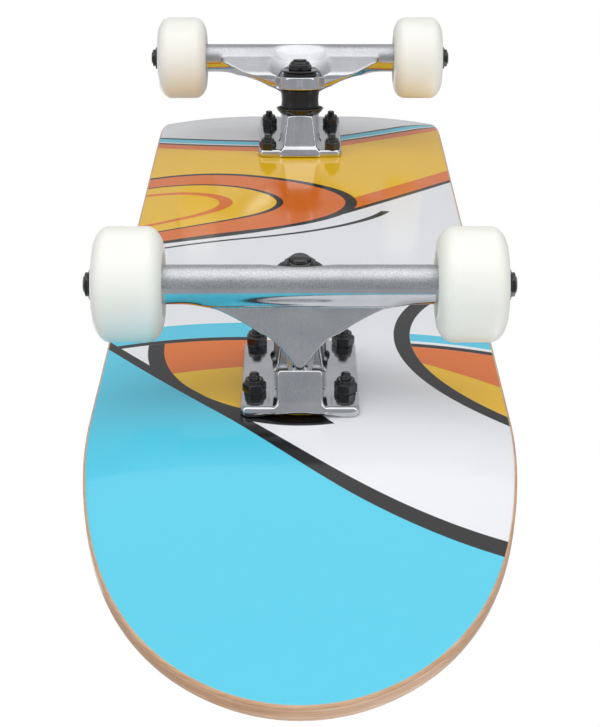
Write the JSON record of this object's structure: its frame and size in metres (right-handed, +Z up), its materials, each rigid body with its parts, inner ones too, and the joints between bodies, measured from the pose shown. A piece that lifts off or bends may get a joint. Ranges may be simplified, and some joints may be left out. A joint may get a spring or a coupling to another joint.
{
  "type": "skateboard",
  "caption": "Street skateboard: pressed maple deck with kicked ends, sprung steering trucks and small hard wheels on ball bearings.",
  "frame": {"origin": "on the ground under the middle of the deck, with the board standing on its four wheels", "axes": "+X along the board to the nose, +Y to the left, +Z up"},
  "size_m": [0.759, 0.1938, 0.1373],
  "materials": {
    "maple_laminate": "clear lacquer over a printed underside, seven plies at the edge",
    "grip": "coarse black grit",
    "cast_aluminium": "polished and brushed casting",
    "black_steel": "black oxide",
    "axle_steel": "ground rod",
    "bearing_steel": "polished",
    "bushing_urethane": "satin moulded urethane",
    "wheel_urethane": "off-white cast urethane",
    "shield_rubber": "moulded seal"
  },
  "bodies": {
    "deck": {"deck": "maple_laminate", "grip_tape": "grip", "front_deck_bolts": "black_steel", "rear_deck_bolts": "black_steel", "front_lock_nuts": "black_steel", "rear_lock_nuts": "black_steel", "front_baseplate": "cast_aluminium", "front_pivot_cup": "bushing_urethane", "front_kingpin": "black_steel", "front_lower_washer": "black_steel", "front_lower_bushing": "bushing_urethane", "front_upper_bushing": "bushing_urethane", "front_upper_washer": "black_steel", "front_kingpin_nut": "black_steel", "rear_baseplate": "cast_aluminium", "rear_pivot_cup": "bushing_urethane", "rear_kingpin": "black_steel", "rear_lower_washer": "black_steel", "rear_lower_bushing": "bushing_urethane", "rear_upper_bushing": "bushing_urethane", "rear_upper_washer": "black_steel", "rear_kingpin_nut": "black_steel"},
    "front_truck": {"front_hanger": "cast_aluminium", "front_axle": "axle_steel", "front_left_inner_races": "bearing_steel", "front_left_spacer": "bearing_steel", "front_left_speed_washers": "bearing_steel", "front_left_axle_nut": "black_steel", "front_right_inner_races": "bearing_steel", "front_right_spacer": "bearing_steel", "front_right_speed_washers": "bearing_steel", "front_right_axle_nut": "black_steel"},
    "rear_truck": {"rear_hanger": "cast_aluminium", "rear_axle": "axle_steel", "rear_left_inner_races": "bearing_steel", "rear_left_spacer": "bearing_steel", "rear_left_speed_washers": "bearing_steel", "rear_left_axle_nut": "black_steel", "rear_right_inner_races": "bearing_steel", "rear_right_spacer": "bearing_steel", "rear_right_speed_washers": "bearing_steel", "rear_right_axle_nut": "black_steel"},
    "front_left_wheel": {"front_left_wheel": "wheel_urethane", "front_left_outer_races": "bearing_steel", "front_left_shields": "shield_rubber"},
    "front_left_ball_set": {"front_left_balls": "bearing_steel"},
    "front_right_wheel": {"front_right_wheel": "wheel_urethane", "front_right_outer_races": "bearing_steel", "front_right_shields": "shield_rubber"},
    "front_right_ball_set": {"front_right_balls": "bearing_steel"},
    "rear_left_wheel": {"rear_left_wheel": "wheel_urethane", "rear_left_outer_races": "bearing_steel", "rear_left_shields": "shield_rubber"},
    "rear_left_ball_set": {"rear_left_balls": "bearing_steel"},
    "rear_right_wheel": {"rear_right_wheel": "wheel_urethane", "rear_right_outer_races": "bearing_steel", "rear_right_shields": "shield_rubber"},
    "rear_right_ball_set": {"rear_right_balls": "bearing_steel"}
  },
  "joints": [
    {"name": "front_steer", "type": "hinge", "parent": "deck", "child": "front_truck", "pos_m": [0.17402, 0, 0.0354], "axis": [-0.7771, 0, -0.6293], "range_deg": [-15, 15], "stiffness_Nm_per_rad": 25, "deforming": ["front_lower_bushing", "front_upper_bushing"]},
    {"name": "rear_steer", "type": "hinge", "parent": "deck", "child": "rear_truck", "pos_m": [-0.18248, 0, 0.0354], "axis": [0.7771, 0, -0.6293], "range_deg": [-15, 15], "stiffness_Nm_per_rad": 25, "deforming": ["rear_lower_bushing", "rear_upper_bushing"]},
    {"name": "front_left_spin", "type": "hinge", "parent": "front_truck", "child": "front_left_wheel", "pos_m": [0.19812, 0.0766, 0.026], "axis": [0, 1, 0], "continuous": true},
    {"name": "front_left_balls_roll", "type": "hinge", "parent": "front_truck", "child": "front_left_ball_set", "pos_m": [0.19812, 0.0766, 0.026], "axis": [0, 1, 0], "continuous": true},
    {"name": "front_right_spin", "type": "hinge", "parent": "front_truck", "child": "front_right_wheel", "pos_m": [0.19812, -0.0766, 0.026], "axis": [0, 1, 0], "continuous": true},
    {"name": "front_right_balls_roll", "type": "hinge", "parent": "front_truck", "child": "front_right_ball_set", "pos_m": [0.19812, -0.0766, 0.026], "axis": [0, 1, 0], "continuous": true},
    {"name": "rear_left_spin", "type": "hinge", "parent": "rear_truck", "child": "rear_left_wheel", "pos_m": [-0.20658, 0.0766, 0.026], "axis": [0, 1, 0], "continuous": true},
    {"name": "rear_left_balls_roll", "type": "hinge", "parent": "rear_truck", "child": "rear_left_ball_set", "pos_m": [-0.20658, 0.0766, 0.026], "axis": [0, 1, 0], "continuous": true},
    {"name": "rear_right_spin", "type": "hinge", "parent": "rear_truck", "child": "rear_right_wheel", "pos_m": [-0.20658, -0.0766, 0.026], "axis": [0, 1, 0], "continuous": true},
    {"name": "rear_right_balls_roll", "type": "hinge", "parent": "rear_truck", "child": "rear_right_ball_set", "pos_m": [-0.20658, -0.0766, 0.026], "axis": [0, 1, 0], "continuous": true}
  ],
  "couplings": [
    {"joint": "front_left_balls_roll", "follows": "front_left_spin", "ratio": 0.6323},
    {"joint": "front_right_balls_roll", "follows": "front_right_spin", "ratio": 0.6323},
    {"joint": "rear_left_balls_roll", "follows": "rear_left_spin", "ratio": 0.6323},
    {"joint": "rear_right_balls_roll", "follows": "rear_right_spin", "ratio": 0.6323}
  ]
}
